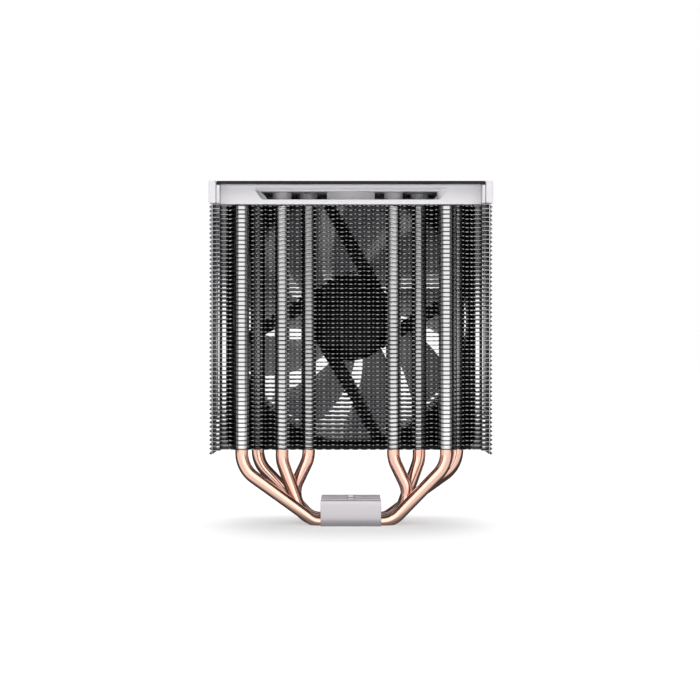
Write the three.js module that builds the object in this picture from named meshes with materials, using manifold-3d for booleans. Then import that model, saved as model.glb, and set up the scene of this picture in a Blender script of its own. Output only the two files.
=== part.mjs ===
// A single-tower CPU cooler: a milled base on four bent heat pipes, a stack of fins, a two-piece
// top cover, and a 120 mm fan that two spring-wire clips hold against the fins.
// Millimetres, +Z up. The origin is the centre of the face that rests on the processor.
// +X is to the right and -Y is the side that the air leaves by; the fan is on the +Y side.

import * as THREE from "three";
import { mergeVertices } from "three/addons/utils/BufferGeometryUtils.js";
import Module from "manifold-3d";

const wasm = await Module();
wasm.setup();

// ---- Driving dimensions ----

const GAP = 0.3; // clearance between pieces that meet

const BASE = { halfX: 13.9, halfY: 19.7, top: 11.65 };
const BASE_CHAMFER = { rise: 3.3, inset: 0.7, foot: 0.6, footInset: 1.1 };
const RIB = { count: 4, width: 5, depth: 1.2, notch: 3.3, notchWall: 1.5 };

const PIPE_RADIUS = 3;
const PIPE_AXIS_Z = 1.9; // the pipe is milled flush with the contact face
// In the base the pipes are pressed to these shares of their height and width. The pressing
// fades out between full and end, along the pipe and upwards.
const PRESS = { height: 0.86, width: 1.1, fullX: 15.5, endX: 23, fullZ: 6, endZ: 12 };
const PIPE_PITCH = 8;
const PIPE_TOP = 150.5;
const PIPE_SIDES = 12;
const BEND_STEPS = 4;
// The two bent routes in (x, z), each with its bend radius at every corner.
const OUTER_ROUTE = [
  { x: -50.3, z: PIPE_TOP },
  { x: -50.3, z: 26.1, bend: 14 },
  { x: -16.4, z: PIPE_AXIS_Z, bend: 8 },
  { x: 19.0, z: PIPE_AXIS_Z, bend: 11 },
  { x: 44.0, z: 27.5, bend: 14 },
  { x: 44.0, z: PIPE_TOP },
];
const INNER_ROUTE = [
  { x: -32.0, z: PIPE_TOP },
  { x: -32.0, z: 29.2, bend: 14 },
  { x: -22.4, z: PIPE_AXIS_Z, bend: 11 },
  { x: 33.1, z: PIPE_AXIS_Z, bend: 12 },
  { x: 19.8, z: 30.0, bend: 14 },
  { x: 19.8, z: PIPE_TOP },
];

// Every second fin of a stack whose own pitch is half of this one.
const FIN = { thickness: 0.4, pitch: 4, count: 29, firstZ: 35 };
const FIN_Y = { wing: -24, edge: -17, step: -14, seatStart: 3, seatEnd: 4.4, far: 23.5 };
const FIN_HALF_X = { wing: 63.3, wingInner: 59.7, edge: 54.6, clipSeat: 61.9 };
const PIPE_HOLE_SIDES = 6;

const COVER = { bottom: 147.5, top: 158, nearY: -24, farY: 23.5 };
const RAIL = { inner: 61.4, outer: 64.7, stepInner: 59.8, stepTop: 156, stepNearY: -23 };
const BAR = { nearY: -16.6, thickness: 2.4 };
const DECK = { bottom: 153.4, top: 156 };
const WINDOW = { halfBottom: 38, halfTop: 43.4, bottom: 149.7, top: DECK.bottom };
const BOSS = { radius: 4.4, bottom: 147.7, sides: 12 };
const CENTRE_BOSS = { halfX: 11, halfY: 13 };
const TOP_PLATE = { halfX: 61.1, bottom: 156.3, top: 157.6 };

const FAN = { centreZ: 96, half: 60, corner: 5, near: 25, far: 50 };
const FLANGE = { depth: 4.5, bore: 56.6 };
const BARREL = { inner: 56.6, outer: 58.8 };
const FAN_SIDES = 40;
const FAN_HOLE = { offset: 52.5, radius: 2.2, sides: 8 };
const HUB_PLATE = { radius: 20.4, depth: 2.5 };
const HUB_SIDES = 18;
const SMALL_SIDES = 12;
// The first of four struts, from the hub to the rim, in (x, z) from the fan's axis.
const STRUT = {
  hub: [-11.8, -13.3],
  rim: [14.5, -58],
  hubHalf: 3.5,
  rimHalf: 2.5,
  depth: 4.2,
};
const POST = { inner: 3.3, outer: 4.4, far: 45 };
const SLEEVE = { inner: 1.6, outer: 3, near: 28.8, far: 44.7 };
const SHAFT = { radius: 1.5, near: 28, far: 46.7 };
const SHAFT_CLIP = { inner: 1.8, outer: 2.9, near: 28.05, far: 28.5 };
const BOARD = { inner: 4.8, outer: 17.5, near: 28.4, far: 29.8 };
const STATOR = { bore: 4.7, core: 8, tipStart: 13, tipEdge: 14.2, tip: 15.4, near: 32, far: 42 };
const STATOR_HALF = { arm: 2.5, tip: 6.3 };
const COIL = { start: 8.8, end: 12.7, inner: 2.8, outer: 5.3, near: 30.9, far: 43.5, wire: 0.6 };
const MAGNET = { inner: 16, outer: 18.1, near: 31, far: 46 };
const ROTOR = { outer: 20, inner: 18.4, near: 30.2, roof: 47, far: 48.6 };
const SPIGOT = { inner: 1.8, outer: 3.6, near: 45.3 };
// Blade edges sweep forward with radius, and the chord is an arc in degrees.
const BLADE = { count: 9, root: 19.2, tip: 55.2, near: 31.4, far: 46, thickness: 1.6 };
const BLADE_ARC = { start: -6.5, startRadius: 23, sweepPerMm: -0.72, rootChord: 29, tipChord: 25 };
const BLADE_STEPS = { span: 4, chord: 3 };
const PAD = { inner: 46, outer: 59.7, near: 23.7, far: 24.8, hole: 2.6 };

// One clip, from its upper hook round behind the fins to its lower hook.
const WIRE = { radius: 0.9, sides: 8, bendSteps: 2, bend: 2.2 };
const CLIP = { sideX: 63.2, seatY: 6, armZ: 46, faceY: 51.4, hookY: 48 };

// ---- Solids ----

const degrees = (angle) => (angle * Math.PI) / 180;
const point = ([x, y]) => new THREE.Vector2(x, y);
const outline = (corners) => new THREE.Shape(corners.map(point));

function toSolid(geometry) {
  const bare = geometry.clone();
  bare.deleteAttribute("normal");
  bare.deleteAttribute("uv");
  const merged = mergeVertices(bare, 1e-4);
  const mesh = new wasm.Mesh({
    numProp: 3,
    vertProperties: merged.attributes.position.array,
    triVerts: new Uint32Array(merged.index.array),
  });
  return new wasm.Manifold(mesh);
}

function toGeometry(solid) {
  const mesh = solid.getMesh();
  const geometry = new THREE.BufferGeometry();
  geometry.setAttribute("position", new THREE.BufferAttribute(mesh.vertProperties, 3));
  geometry.setIndex(new THREE.BufferAttribute(mesh.triVerts, 1));
  const faceted = geometry.toNonIndexed();
  faceted.computeVertexNormals();
  return faceted;
}

const unite = (solids) => solids.reduce((whole, piece) => whole.add(piece));
const cutAll = (solid, tools) => tools.reduce((whole, tool) => whole.subtract(tool), solid);

function box([x0, x1], [y0, y1], [z0, z1]) {
  const geometry = new THREE.BoxGeometry(x1 - x0, y1 - y0, z1 - z0);
  geometry.translate((x0 + x1) / 2, (y0 + y1) / 2, (z0 + z1) / 2);
  return toSolid(geometry);
}

// An upright outline in (x, z), running back from y0 to y1.
function wall(shape, y0, y1) {
  const geometry = new THREE.ExtrudeGeometry(shape, { depth: y1 - y0, bevelEnabled: false });
  geometry.rotateX(Math.PI / 2);
  geometry.translate(0, y1, 0);
  return toSolid(geometry);
}

function uprightPost(radius, sides, { x, y }, z0, z1) {
  const geometry = new THREE.CylinderGeometry(radius, radius, z1 - z0, sides);
  geometry.rotateX(Math.PI / 2);
  geometry.translate(x, y, (z0 + z1) / 2);
  return toSolid(geometry);
}

// A closed profile of (radius, y) corners, turned about the Y axis.
function turned(profile, sides) {
  const closed = [...profile, profile[0]].map(point);
  return toSolid(new THREE.LatheGeometry(closed, sides));
}

const ring = ({ inner, outer, near, far }, sides) =>
  turned([[inner, near], [outer, near], [outer, far], [inner, far]], sides);

function disc(radius, y0, y1, sides) {
  const geometry = new THREE.CylinderGeometry(radius, radius, y1 - y0, sides);
  geometry.translate(0, (y0 + y1) / 2, 0);
  return toSolid(geometry);
}

function polygon(radius, sides, [cx, cy] = [0, 0]) {
  return Array.from({ length: sides }, (_, i) => {
    const angle = (2 * Math.PI * i) / sides;
    return [cx + radius * Math.cos(angle), cy + radius * Math.sin(angle)];
  });
}

// A tube's centre line: straight runs joined by circular bends, with a station at each end
// of a run and at even steps round each bend, and none in between.
class BentRoute extends THREE.Curve {
  constructor(corners, bendSteps) {
    super();
    this.stations = [];
    corners.forEach((corner, i) => {
      const before = corners[i - 1];
      const after = corners[i + 1];
      if (before && after) this.addBend(before, corner, after, bendSteps);
      else this.addEnd(corner, before ?? corner, after ?? corner);
    });
  }

  addEnd(corner, from, to) {
    const tangent = to.at.clone().sub(from.at).normalize();
    this.stations.push({ at: corner.at.clone(), tangent });
  }

  addBend(before, corner, after, bendSteps) {
    const arriving = corner.at.clone().sub(before.at).normalize();
    const leaving = after.at.clone().sub(corner.at).normalize();
    const turn = arriving.angleTo(leaving);
    const setback = corner.bend * Math.tan(turn / 2);
    const start = corner.at.clone().addScaledVector(arriving, -setback);
    const inward = leaving.clone().addScaledVector(arriving, -Math.cos(turn)).normalize();
    const centre = start.clone().addScaledVector(inward, corner.bend);
    for (let step = 0; step <= bendSteps; step++) {
      const angle = (turn * step) / bendSteps;
      const at = centre.clone()
        .addScaledVector(inward, -corner.bend * Math.cos(angle))
        .addScaledVector(arriving, corner.bend * Math.sin(angle));
      const tangent = arriving.clone().multiplyScalar(Math.cos(angle))
        .addScaledVector(inward, Math.sin(angle));
      this.stations.push({ at, tangent });
    }
  }

  station(t) {
    return this.stations[Math.round(t * (this.stations.length - 1))];
  }

  getPoint(t) {
    return this.station(t).at.clone();
  }

  getTangent(t) {
    return this.station(t).tangent.clone();
  }

  getUtoTmapping(u) {
    return u;
  }
}

function tube(corners, radius, sides, bendSteps) {
  const route = new BentRoute(corners, bendSteps);
  return toSolid(new THREE.ExtrudeGeometry(outline(polygon(radius, sides)), {
    steps: route.stations.length - 1,
    extrudePath: route,
    bevelEnabled: false,
  }));
}

// ---- Base and heat pipes ----

// The four pipes lie side by side in the base. The rear two are the front two turned half round.
const PIPES = [
  { route: OUTER_ROUTE, y: -1.5 * PIPE_PITCH, side: 1 },
  { route: INNER_ROUTE, y: -0.5 * PIPE_PITCH, side: 1 },
  { route: INNER_ROUTE, y: 0.5 * PIPE_PITCH, side: -1 },
  { route: OUTER_ROUTE, y: 1.5 * PIPE_PITCH, side: -1 },
];

const LEGS = PIPES.flatMap(({ route, y, side }) =>
  [route[0], route[route.length - 1]].map(({ x }) => ({ x: side * x, y })));

function heatPipe({ route, y, side }) {
  const corners = route.map(({ x, z, bend }) => ({
    at: new THREE.Vector3(side * x, y, z),
    bend,
  }));
  const reach = FIN_HALF_X.wing;
  const acrossPipe = [y - PIPE_PITCH / 2, y + PIPE_PITCH / 2];
  const belowContact = box([-reach, reach], acrossPipe, [-PIPE_RADIUS, 0]);
  const round = tube(corners, PIPE_RADIUS, PIPE_SIDES, BEND_STEPS).subtract(belowContact);
  return pressed(toGeometry(round), y);
}

function pressed(geometry, pipeY) {
  const { smoothstep, lerp } = THREE.MathUtils;
  const place = geometry.attributes.position;
  for (let i = 0; i < place.count; i++) {
    const x = place.getX(i);
    const y = place.getY(i);
    const z = place.getZ(i);
    const along = 1 - smoothstep(Math.abs(x), PRESS.fullX, PRESS.endX);
    const amount = along * (1 - smoothstep(z, PRESS.fullZ, PRESS.endZ));
    place.setY(i, pipeY + (y - pipeY) * lerp(1, PRESS.width, amount));
    place.setZ(i, z * lerp(1, PRESS.height, amount));
  }
  geometry.computeVertexNormals();
  return geometry;
}

// The block's end profile in (y, z): upright sides over a chamfer and a narrow foot.
function blockProfile() {
  const { rise, inset, foot, footInset } = BASE_CHAMFER;
  const right = [
    [BASE.halfY - footInset, 0],
    [BASE.halfY - inset, foot],
    [BASE.halfY, rise],
    [BASE.halfY, BASE.top],
  ];
  return outline([...right, ...right.map(([y, z]) => [-y, z]).reverse()]);
}

function baseBlock() {
  const geometry = new THREE.ExtrudeGeometry(blockProfile(), {
    depth: 2 * BASE.halfX,
    bevelEnabled: false,
  });
  geometry.rotateX(Math.PI / 2);
  geometry.rotateZ(Math.PI / 2);
  geometry.translate(-BASE.halfX, 0, 0);
  const past = BASE.halfX + 1;
  const channels = PIPES.map(({ y }) => {
    const channel = new THREE.CylinderGeometry(
      PIPE_RADIUS + GAP, PIPE_RADIUS + GAP, 2 * past, PIPE_SIDES + 2);
    channel.rotateZ(Math.PI / 2);
    channel.scale(1, PRESS.width, PRESS.height);
    channel.translate(0, y, PIPE_AXIS_Z * PRESS.height);
    return toSolid(channel);
  });
  const ribTop = [BASE.top - RIB.depth, BASE.top + 1];
  const grooveCount = RIB.count - 1;
  const grooveWidth = (2 * BASE.halfY - RIB.count * RIB.width) / grooveCount;
  const grooves = Array.from({ length: grooveCount }, (_, i) => {
    const start = -BASE.halfY + RIB.width + i * (RIB.width + grooveWidth);
    return box([-past, past], [start, start + grooveWidth], ribTop);
  });
  // The notch runs from behind the front rib to a thin wall at the far side.
  const notchY = [-BASE.halfY + RIB.width, BASE.halfY - RIB.notchWall];
  const notch = box([-RIB.notch / 2, RIB.notch / 2], notchY, ribTop);
  return cutAll(toSolid(geometry), [...channels, ...grooves, notch]);
}

// ---- Fins ----

// A fin is wide in front, where its two wings reach out past the stepped exhaust edge, and
// narrower behind, where the clips sit against its sides.
function finShape() {
  const right = [
    [FIN_HALF_X.edge, FIN_Y.edge],
    [FIN_HALF_X.edge, FIN_Y.step],
    [FIN_HALF_X.wingInner, FIN_Y.step],
    [FIN_HALF_X.wingInner, FIN_Y.wing],
    [FIN_HALF_X.wing, FIN_Y.wing],
    [FIN_HALF_X.wing, FIN_Y.seatStart],
    [FIN_HALF_X.clipSeat, FIN_Y.seatEnd],
    [FIN_HALF_X.clipSeat, FIN_Y.far],
  ];
  const shape = outline([...right, ...right.map(([x, y]) => [-x, y]).reverse()]);
  const holeRadius = (PIPE_RADIUS + GAP) / Math.cos(Math.PI / PIPE_HOLE_SIDES);
  shape.holes = LEGS.map(({ x, y }) =>
    new THREE.Path(polygon(holeRadius, PIPE_HOLE_SIDES, [x, y]).map(point)));
  return shape;
}

function finGeometry() {
  const geometry = new THREE.ExtrudeGeometry(finShape(), {
    depth: FIN.thickness,
    bevelEnabled: false,
  });
  return geometry.translate(0, 0, -FIN.thickness / 2);
}

// ---- Top cover ----

// Overlap that joins two boxes of one piece.
const JOIN = 0.1;

function coverRails() {
  return [-1, 1].flatMap((side) => {
    const span = (inner, outer) => (side > 0 ? [inner, outer] : [-outer, -inner]);
    return [
      box(span(RAIL.inner, RAIL.outer), [COVER.nearY, COVER.farY], [COVER.bottom, COVER.top]),
      box(span(RAIL.stepInner, RAIL.inner + JOIN), [RAIL.stepNearY, COVER.farY],
        [COVER.bottom, RAIL.stepTop]),
    ];
  });
}

function coverWindow() {
  const { halfBottom, halfTop, bottom, top } = WINDOW;
  const shape = outline([
    [-halfBottom, bottom],
    [halfBottom, bottom],
    [halfTop, top],
    [-halfTop, top],
  ]);
  return wall(shape, BAR.nearY - 1, BAR.nearY + BAR.thickness);
}

function topCover() {
  const across = [-RAIL.stepInner - JOIN, RAIL.stepInner + JOIN];
  const barHeight = [COVER.bottom, DECK.top];
  const bossHeight = [BOSS.bottom, DECK.bottom + JOIN];
  const nearBar = box(across, [BAR.nearY, BAR.nearY + BAR.thickness], barHeight);
  const farBar = box(across, [COVER.farY - BAR.thickness, COVER.farY], barHeight);
  const deck = box(across, [BAR.nearY, COVER.farY], [DECK.bottom, DECK.top]);
  const shell = unite([...coverRails(), nearBar, farBar, deck]).subtract(coverWindow());
  const centre = box(
    [-CENTRE_BOSS.halfX, CENTRE_BOSS.halfX],
    [-CENTRE_BOSS.halfY, CENTRE_BOSS.halfY],
    bossHeight);
  const bosses = LEGS.map((leg) => uprightPost(BOSS.radius, BOSS.sides, leg, ...bossHeight));
  const bores = LEGS.map((leg) =>
    uprightPost(PIPE_RADIUS + GAP, BOSS.sides, leg, COVER.bottom - 1, PIPE_TOP + GAP));
  return cutAll(unite([shell, centre, ...bosses]), bores);
}

const topPlate = () => box(
  [-TOP_PLATE.halfX, TOP_PLATE.halfX],
  [COVER.nearY, COVER.farY],
  [TOP_PLATE.bottom, TOP_PLATE.top]);

// ---- Fan, about its own axis ----

const CORNERS = [[1, 1], [-1, 1], [-1, -1], [1, -1]];
const CORNER_STEPS = 3;

function roundedSquare(half, corner) {
  return CORNERS.flatMap(([sx, sz], quarter) =>
    Array.from({ length: CORNER_STEPS + 1 }, (_, step) => {
      const angle = (Math.PI / 2) * (quarter + step / CORNER_STEPS);
      return [
        sx * (half - corner) + corner * Math.cos(angle),
        sz * (half - corner) + corner * Math.sin(angle),
      ];
    }));
}

function flange(near) {
  const shape = outline(roundedSquare(FAN.half, FAN.corner));
  const { offset, radius, sides } = FAN_HOLE;
  const holes = CORNERS.map(([sx, sz]) => polygon(radius, sides, [sx * offset, sz * offset]));
  shape.holes = [polygon(FLANGE.bore, FAN_SIDES), ...holes]
    .map((corners) => new THREE.Path(corners.map(point)));
  return wall(shape, near, near + FLANGE.depth);
}

function strut(quarter) {
  const turn = (Math.PI / 2) * quarter;
  const along = new THREE.Vector2(STRUT.rim[0] - STRUT.hub[0], STRUT.rim[1] - STRUT.hub[1]);
  const across = new THREE.Vector2(-along.y, along.x).normalize();
  const corner = (end, half) =>
    point(end).addScaledVector(across, half).rotateAround(new THREE.Vector2(), turn);
  const shape = new THREE.Shape([
    corner(STRUT.hub, STRUT.hubHalf),
    corner(STRUT.hub, -STRUT.hubHalf),
    corner(STRUT.rim, -STRUT.rimHalf),
    corner(STRUT.rim, STRUT.rimHalf),
  ]);
  return wall(shape, FAN.near, FAN.near + STRUT.depth);
}

// The exhaust-side flange with its struts, hub plate and bearing post.
function fanFrame() {
  const plateFar = FAN.near + HUB_PLATE.depth;
  const hub = disc(HUB_PLATE.radius, FAN.near, plateFar, HUB_SIDES);
  const struts = CORNERS.map((_, quarter) => strut(quarter));
  const boardRoom = ring(
    { inner: POST.outer, outer: BOARD.outer + GAP, near: plateFar, far: FAN.near + STRUT.depth + 1 },
    HUB_SIDES);
  const post = ring({ ...POST, near: plateFar - JOIN }, SMALL_SIDES);
  return unite([unite([...struts, hub]).subtract(boardRoom), post, flange(FAN.near)]);
}

const fanBarrel = () => ring(
  { ...BARREL, near: FAN.near + FLANGE.depth, far: FAN.far - FLANGE.depth },
  FAN_SIDES);

// A flat block whose length runs out along the radius, and whose width is bent round the axis
// and raised from the exhaust side to the intake side.
function blade(index) {
  const { span, chord } = BLADE_STEPS;
  const geometry = new THREE.BoxGeometry(1, 1, 1, span, 1, chord);
  const place = geometry.attributes.position;
  const rise = BLADE.far - BLADE.near - BLADE.thickness;
  for (let i = 0; i < place.count; i++) {
    const outward = place.getX(i) + 0.5;
    const through = place.getY(i) + 0.5;
    const forward = 0.5 - place.getZ(i);
    const radius = THREE.MathUtils.lerp(BLADE.root, BLADE.tip, outward);
    const arc = THREE.MathUtils.lerp(BLADE_ARC.rootChord, BLADE_ARC.tipChord, outward);
    const edge = BLADE_ARC.start + BLADE_ARC.sweepPerMm * (radius - BLADE_ARC.startRadius);
    const angle = degrees(edge - forward * arc - (360 * index) / BLADE.count);
    place.setXYZ(
      i,
      radius * Math.cos(angle),
      BLADE.near + rise * forward + BLADE.thickness * through,
      radius * Math.sin(angle));
  }
  return toSolid(geometry);
}

function fanRotor() {
  const cup = turned([
    [0, ROTOR.roof],
    [SPIGOT.inner, ROTOR.roof],
    [SPIGOT.inner, SPIGOT.near],
    [SPIGOT.outer, SPIGOT.near],
    [SPIGOT.outer, ROTOR.roof],
    [ROTOR.inner, ROTOR.roof],
    [ROTOR.inner, ROTOR.near],
    [ROTOR.outer, ROTOR.near],
    [ROTOR.outer, ROTOR.far],
    [0, ROTOR.far],
  ], HUB_SIDES);
  const blades = Array.from({ length: BLADE.count }, (_, index) => blade(index));
  return unite([cup, ...blades]);
}

function statorCore() {
  const arms = CORNERS.flatMap((_, quarter) => {
    const turn = (Math.PI / 2) * quarter;
    const corners = [
      [STATOR.core, -STATOR_HALF.arm],
      [STATOR.tipStart, -STATOR_HALF.arm],
      [STATOR.tipStart, -STATOR_HALF.tip],
      [STATOR.tipEdge, -STATOR_HALF.tip],
      [STATOR.tip, 0],
      [STATOR.tipEdge, STATOR_HALF.tip],
      [STATOR.tipStart, STATOR_HALF.tip],
      [STATOR.tipStart, STATOR_HALF.arm],
      [STATOR.core, STATOR_HALF.arm],
    ];
    return corners.map((corner) => point(corner).rotateAround(new THREE.Vector2(), turn));
  });
  const shape = new THREE.Shape(arms);
  shape.holes = [new THREE.Path(polygon(STATOR.bore, SMALL_SIDES).map(point))];
  return wall(shape, STATOR.near, STATOR.far);
}

function coil() {
  const { start, end, inner, outer, near, far, wire } = COIL;
  const winding = box([start, end], [near, far], [-outer, outer]);
  const arm = box([start - 1, end + 1], [near + wire, far - wire], [-inner, inner]);
  return winding.subtract(arm);
}

function cornerPad() {
  const middle = (PAD.inner + PAD.outer) / 2;
  const half = (PAD.outer - PAD.inner) / 2;
  const shape = outline(roundedSquare(half, FAN.corner - 1)
    .map(([x, z]) => [x + middle, z + middle]));
  const hole = polygon(PAD.hole, FAN_HOLE.sides, [FAN_HOLE.offset, FAN_HOLE.offset]);
  shape.holes = [new THREE.Path(hole.map(point))];
  return wall(shape, PAD.near, PAD.far);
}

function fanClip(side) {
  const upper = [
    [FAN_HOLE.offset, CLIP.hookY, FAN_HOLE.offset],
    [FAN_HOLE.offset, CLIP.faceY, FAN_HOLE.offset],
    [CLIP.sideX, CLIP.faceY, CLIP.armZ],
    [CLIP.sideX, CLIP.seatY, CLIP.armZ],
  ];
  const lower = upper.map(([x, y, z]) => [x, y, -z]).reverse();
  const corners = [...upper, ...lower].map(([x, y, z]) => ({
    at: new THREE.Vector3(side * x, y, z),
    bend: WIRE.bend,
  }));
  return tube(corners, WIRE.radius, WIRE.sides, WIRE.bendSteps);
}

// ---- Assembly ----

const metal = (color, roughness) =>
  new THREE.MeshStandardMaterial({ color, roughness, metalness: 1 });
const plastic = (color, roughness) =>
  new THREE.MeshStandardMaterial({ color, roughness, metalness: 0 });

function part(name, shape, material) {
  const mesh = new THREE.Mesh(shape.isBufferGeometry ? shape : toGeometry(shape), material);
  mesh.name = name;
  return mesh;
}

const cooler = new THREE.Group();

cooler.add(part("base_block", baseBlock(), metal(0xd0cdd0, 0.35)));
PIPES.forEach((pipe, i) => {
  cooler.add(part(`heat_pipe_${i + 1}`, heatPipe(pipe), metal(0xc98a6b, 0.22)));
});

for (let i = 0; i < FIN.count; i++) {
  const name = `fin_${String(i + 1).padStart(2, "0")}`;
  const fin = part(name, finGeometry(), metal(0xbdbdc0, 0.28));
  fin.position.z = FIN.firstZ + i * FIN.pitch;
  cooler.add(fin);
}

cooler.add(part("top_cover", topCover(), plastic(0xe9e7ea, 0.4)));
cooler.add(part("top_plate", topPlate(), plastic(0x2b2a2c, 0.45)));

const fan = new THREE.Group();
fan.position.z = FAN.centreZ;
cooler.add(fan);

const rotor = new THREE.Group();
rotor.add(part("fan_rotor", fanRotor(), plastic(0x3c3c40, 0.35)));
rotor.add(part("magnet_ring", ring(MAGNET, HUB_SIDES), metal(0x4a4a4c, 0.6)));
rotor.add(part("rotor_shaft", disc(SHAFT.radius, SHAFT.near, SHAFT.far, SMALL_SIDES),
  metal(0xb8b8bc, 0.2)));
rotor.add(part("shaft_clip", ring(SHAFT_CLIP, SMALL_SIDES), plastic(0xe6e2d6, 0.5)));
fan.add(rotor);

fan.add(part("fan_frame", fanFrame(), plastic(0x1d1d1f, 0.5)));
fan.add(part("fan_barrel", fanBarrel(), plastic(0x1d1d1f, 0.5)));
fan.add(part("fan_intake_flange", flange(FAN.far - FLANGE.depth), plastic(0x1d1d1f, 0.5)));
fan.add(part("bearing_sleeve", ring(SLEEVE, SMALL_SIDES), metal(0xb08d4a, 0.35)));
fan.add(part("circuit_board", ring(BOARD, HUB_SIDES), plastic(0x1f5a34, 0.55)));
fan.add(part("stator_core", statorCore(), metal(0x6d6f73, 0.55)));
CORNERS.forEach((_, quarter) => {
  const winding = part(`stator_coil_${quarter + 1}`, coil(), metal(0xb5643a, 0.35));
  winding.rotation.y = (quarter * Math.PI) / 2;
  fan.add(winding);
});
CORNERS.forEach((_, quarter) => {
  const pad = part(`corner_pad_${quarter + 1}`, cornerPad(), plastic(0x2a2a2c, 0.8));
  pad.rotation.y = (quarter * Math.PI) / 2;
  fan.add(pad);
});
fan.add(part("fan_clip_right", fanClip(1), metal(0xc4c4c8, 0.25)));
fan.add(part("fan_clip_left", fanClip(-1), metal(0xc4c4c8, 0.25)));

export default cooler;
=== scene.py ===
"""A single-tower CPU cooler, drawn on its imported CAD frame.

Lengths are millimetres until a mesh is made. +Z is up, -Y is the side the air leaves by.
"""

import math

import bmesh
import bpy
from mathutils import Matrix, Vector
from mathutils.geometry import delaunay_2d_cdt


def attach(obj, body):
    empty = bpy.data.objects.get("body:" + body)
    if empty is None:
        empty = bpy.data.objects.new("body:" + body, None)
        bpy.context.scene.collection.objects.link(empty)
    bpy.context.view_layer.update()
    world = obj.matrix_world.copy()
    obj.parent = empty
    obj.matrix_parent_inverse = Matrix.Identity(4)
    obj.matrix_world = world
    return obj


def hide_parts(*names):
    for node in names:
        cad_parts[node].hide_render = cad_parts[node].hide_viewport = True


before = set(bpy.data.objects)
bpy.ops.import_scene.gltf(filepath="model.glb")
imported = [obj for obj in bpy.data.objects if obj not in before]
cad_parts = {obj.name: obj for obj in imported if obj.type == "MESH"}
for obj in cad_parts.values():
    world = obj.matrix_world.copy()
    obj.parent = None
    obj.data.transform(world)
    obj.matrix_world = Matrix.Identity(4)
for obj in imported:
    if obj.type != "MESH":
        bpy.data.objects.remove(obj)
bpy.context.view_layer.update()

MM = 0.001


# ---- Dimensions ----

PIPE_RADIUS = 3.0
PIPE_AXIS_Z = 1.9
PIPE_TOP = 150.5
# In the base the pipes are pressed to these shares of their height and width. The pressing fades
# out between the two places given along X, and between those up Z.
PRESS_HEIGHT, PRESS_WIDTH = 0.86, 1.1
PRESS_FADE_X, PRESS_FADE_Z = (15.5, 23), (6, 12)
PIPE_FRONT_Y, PIPE_PITCH = -12.0, 8.0
PIPE_BACK_Y = PIPE_FRONT_Y + 3 * PIPE_PITCH
# Each bent route in (x, z), and the radius of the bend at each inner corner.
OUTER_ROUTE = [
    (-50.3, PIPE_TOP), (-50.3, 26.1), (-16.4, PIPE_AXIS_Z),
    (19.0, PIPE_AXIS_Z), (44.0, 27.5), (44.0, PIPE_TOP),
]
OUTER_BENDS = [14, 8, 11, 14]
INNER_ROUTE = [
    (-32.0, PIPE_TOP), (-32.0, 29.2), (-22.4, PIPE_AXIS_Z),
    (33.1, PIPE_AXIS_Z), (19.8, 30.0), (19.8, PIPE_TOP),
]
INNER_BENDS = [14, 11, 12, 14]
# Each pipe's route, its bends, its place along Y, and -1 where it is turned left to right.
PIPES = [
    (OUTER_ROUTE, OUTER_BENDS, PIPE_FRONT_Y, 1),
    (INNER_ROUTE, INNER_BENDS, PIPE_FRONT_Y + PIPE_PITCH, 1),
    (INNER_ROUTE, INNER_BENDS, PIPE_BACK_Y - PIPE_PITCH, -1),
    (OUTER_ROUTE, OUTER_BENDS, PIPE_BACK_Y, -1),
]
LEGS = [(side * route[end][0], y) for route, _, y, side in PIPES for end in (0, -1)]

BASE_HALF_X, BASE_HALF_Y, BASE_TOP = 13.9, 19.7, 11.65
# The chamfered foot, as (distance in from the side, height), and the play round a pipe.
BASE_FOOT = [(1.1, 0), (0.7, 0.6), (0, 3.3)]
CHANNEL_PLAY = 0.3
RIB_COUNT, RIB_WIDTH, RIB_DEPTH, RIB_NOTCH, NOTCH_WALL = 4, 5.0, 1.2, 3.3, 1.5

FIN_COUNT, FIN_PITCH, FIN_FIRST_Z, FIN_THICKNESS = 57, 2.0, 35.0, 0.32
TOOTH_PITCH, TOOTH_COUNT = 4.115, 13
TOOTH_VALLEY_Y, TOOTH_TIP_Y = -12.9, -16.9
TOOTH_VALLEY_HALF, TOOTH_TIP_HALF = 0.6, 0.3
BUMP_RADIUS = 4.6
# Outside the teeth each fin has a wing, which ends at a step, and behind that a narrower body.
TEETH_HALF, WING_HALF, BODY_HALF = 54.5, 63.3, 61.9
WING_NEAR, WING_FAR, BODY_FAR = -24.0, 3.0, 23.5
COLLAR_REACH = 4
# A pipe behind the front row puts this much of the edge before it, each way from its middle, in painted
# shade.
SHADED_HALF = 2.6

COVER_BOTTOM, COVER_TOP, COVER_NEAR, COVER_FAR = 147.5, 158.0, -24.0, 23.5
RAIL_INNER, RAIL_OUTER = 61.4, 64.7
SHELL_HALF, SHELL_TOP = 59.75, 156.0
BAR_NEAR, BAR_FAR = -16.6, -14.2
DECK_NEAR, DECK_BOTTOM = -14.3, 153.6
BOSS_BOTTOM, BOSS_TOP, CENTRE_BOSS_HALF = 147.7, 154.7, 11
PLATE_BOTTOM, PLATE_TOP, PLATE_HALF = 156.3, 157.6, 61.1

FAN_Z = 96.0
FAN_HALF, FAN_CORNER, FAN_NEAR, FAN_FAR = 60.0, 5.0, 25.0, 50.0
FLANGE_DEPTH, FAN_BORE, BARREL_OUTER = 4.5, 56.6, 58.8
FAN_HOLE_OFFSET, FAN_HOLE_RADIUS = 52.5, 2.2
STRUT_DEPTH = 4.2
# Each pad fills the gap between the frame's corner and the fins.
PAD_MIDDLE, PAD_HALF, PAD_CORNER, PAD_HOLE, PAD_NEAR, PAD_FAR = 52.85, 6.85, 4.0, 2.6, 23.7, 24.8

BLADE_COUNT, BLADE_ROOT, BLADE_TIP, BLADE_NEAR, BLADE_FAR = 9, 19.2, 55.2, 31.4, 46.0
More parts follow.
